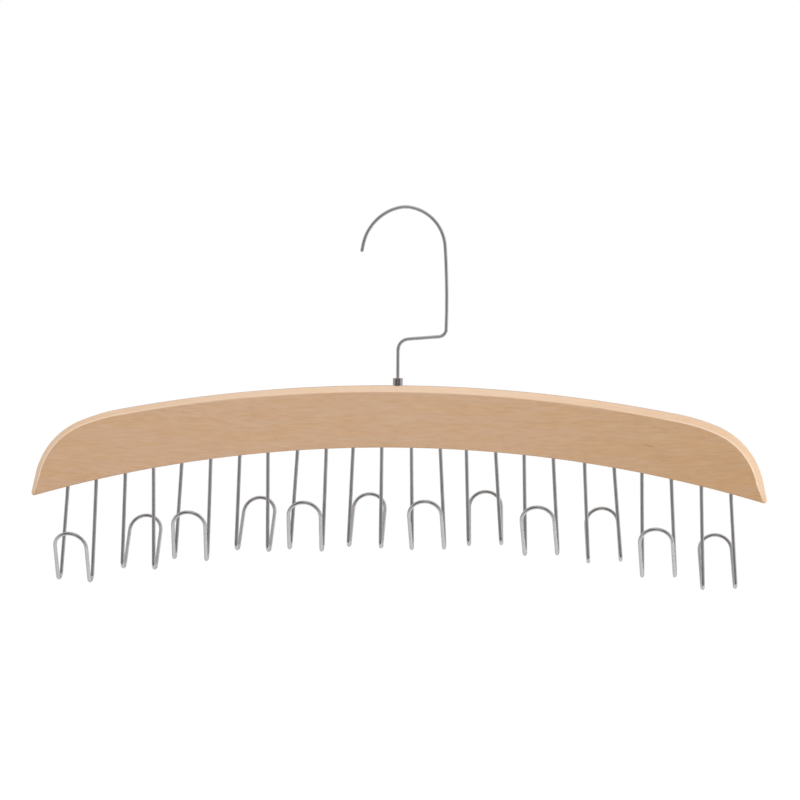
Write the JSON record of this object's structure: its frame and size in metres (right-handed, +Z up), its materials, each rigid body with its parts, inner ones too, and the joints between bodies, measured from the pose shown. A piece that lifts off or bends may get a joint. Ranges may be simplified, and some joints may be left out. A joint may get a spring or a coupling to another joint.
{
  "type": "multi-hook hanger",
  "caption": "Arched wooden hanger bar on a swivelling wire hook, with a row of double wire hooks below it for belts and ties.",
  "frame": {"origin": "the inside top of the crook, where the closet rail carries the hanger", "axes": "+Z up, +X along the bar away from the crook's open side, -Y towards the viewer of the front"},
  "size_m": [0.4388, 0.0441, 0.2283],
  "materials": {
    "lacquered_wood": "pale close-grained wood under clear satin lacquer",
    "chrome_wire": "bright plated round steel wire",
    "plated_bush": "plated and slightly dulled, with turned rings",
    "plain_steel": "plain stamped steel washer"
  },
  "bodies": {
    "hook": {"swivel_hook": "chrome_wire", "swivel_washer": "plain_steel"},
    "hanger": {"wooden_bar": "lacquered_wood", "swivel_ferrule": "plated_bush", "belt_hook_01": "chrome_wire", "belt_hook_02": "chrome_wire", "belt_hook_03": "chrome_wire", "belt_hook_04": "chrome_wire", "belt_hook_05": "chrome_wire", "belt_hook_06": "chrome_wire", "belt_hook_07": "chrome_wire", "belt_hook_08": "chrome_wire", "belt_hook_09": "chrome_wire", "belt_hook_10": "chrome_wire", "belt_hook_11": "chrome_wire", "belt_hook_12": "chrome_wire"}
  },
  "joints": [
    {"name": "hook_swivel", "type": "hinge", "parent": "hook", "child": "hanger", "pos_m": [-0.00277, 0, -0.10526], "axis": [0, 0, 1], "continuous": true}
  ]
}
